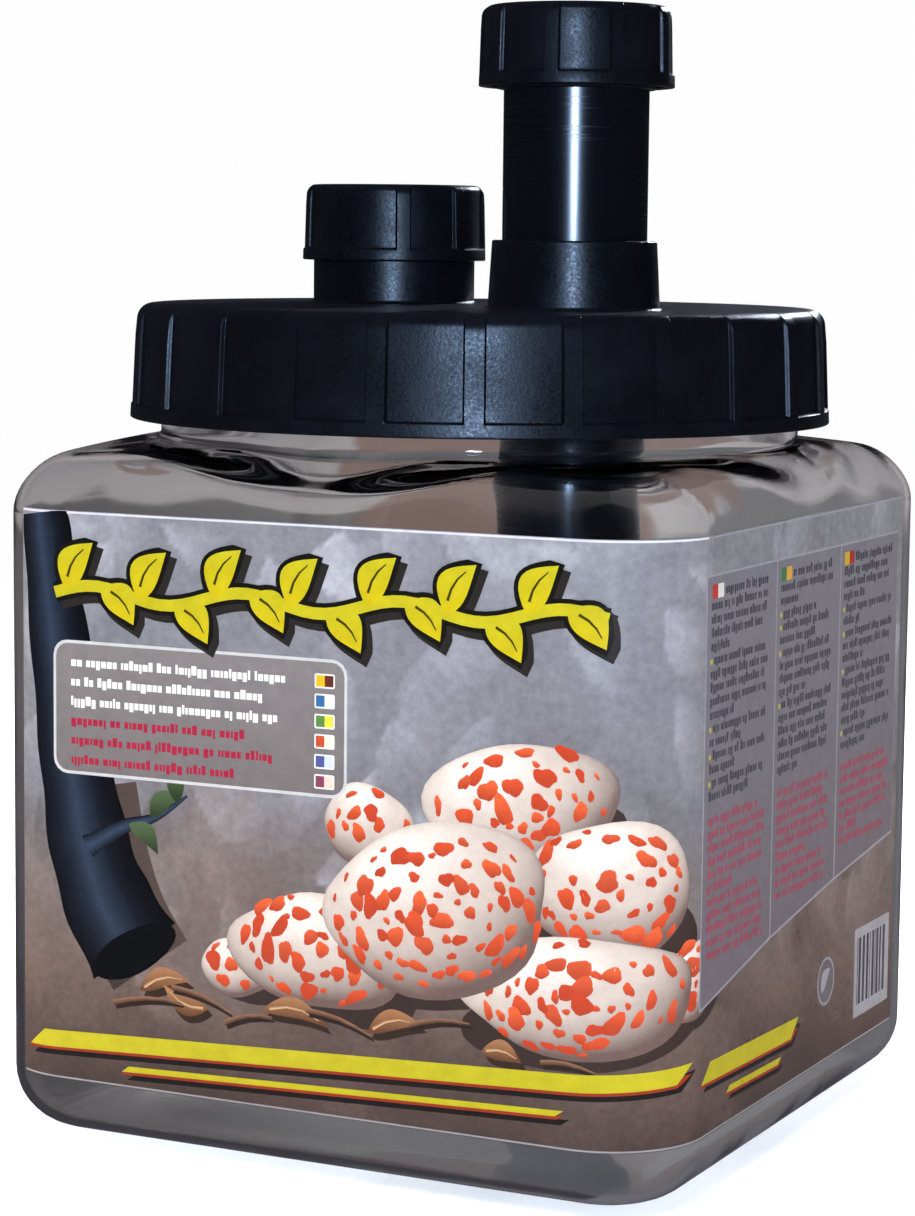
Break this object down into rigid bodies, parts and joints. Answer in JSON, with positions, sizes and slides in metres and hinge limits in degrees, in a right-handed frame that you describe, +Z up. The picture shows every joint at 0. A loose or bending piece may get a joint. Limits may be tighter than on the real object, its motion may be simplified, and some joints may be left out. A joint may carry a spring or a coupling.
{
  "type": "cricket keeper box",
  "caption": "Square clear jar for live crickets, with a black screw lid, a capped port and a sliding capped tube.",
  "frame": {"origin": "centre of the base, on the surface that the jar stands on", "axes": "+Z up, -Y out of the labelled front face, +X out of the labelled right-hand face"},
  "size_m": [0.1242, 0.1242, 0.1876],
  "materials": {
    "clear_jar": "clear blow-moulded, glossy",
    "printed_film": "printed glossy film",
    "black_moulding": "black, satin, fine grain",
    "black_tube": "black, glossy, lightly scuffed",
    "foam": "closed-cell foam"
  },
  "bodies": {
    "jar": {"jar": "clear_jar", "wrap_label": "printed_film"},
    "lid_seal": {"lid_liner": "foam"},
    "lid": {"main_lid": "black_moulding"},
    "port_cap_seal": {"port_cap_liner": "foam"},
    "port_cap": {"port_cap": "black_moulding"},
    "tube": {"feeder_tube": "black_tube", "tube_top_ring": "black_moulding"},
    "tube_cap_seal": {"tube_cap_liner": "foam"},
    "tube_cap": {"tube_cap": "black_moulding"}
  },
  "joints": [
    {"name": "lid_lift", "type": "slide", "parent": "jar", "child": "lid_seal", "axis": [0, 0, 1], "range_m": [0, 0.14]},
    {"name": "lid_turn", "type": "hinge", "parent": "lid_seal", "child": "lid", "pos_m": [0, 0, 0.128], "axis": [0, 0, 1], "range_deg": [0, 360]},
    {"name": "port_cap_lift", "type": "slide", "parent": "lid", "child": "port_cap_seal", "axis": [0, 0, 1], "range_m": [0, 0.02]},
    {"name": "port_cap_turn", "type": "hinge", "parent": "port_cap_seal", "child": "port_cap", "pos_m": [-0.02229, 0.01063, 0.15], "axis": [0, 0, 1], "range_deg": [0, 360]},
    {"name": "tube_slide", "type": "slide", "parent": "lid", "child": "tube", "axis": [0, 0, 1], "range_m": [-0.005, 0.125]},
    {"name": "tube_cap_lift", "type": "slide", "parent": "tube", "child": "tube_cap_seal", "axis": [0, 0, 1], "range_m": [0, 0.02]},
    {"name": "tube_cap_turn", "type": "hinge", "parent": "tube_cap_seal", "child": "tube_cap", "pos_m": [0.02229, -0.01063, 0.18], "axis": [0, 0, 1], "range_deg": [0, 360]}
  ]
}
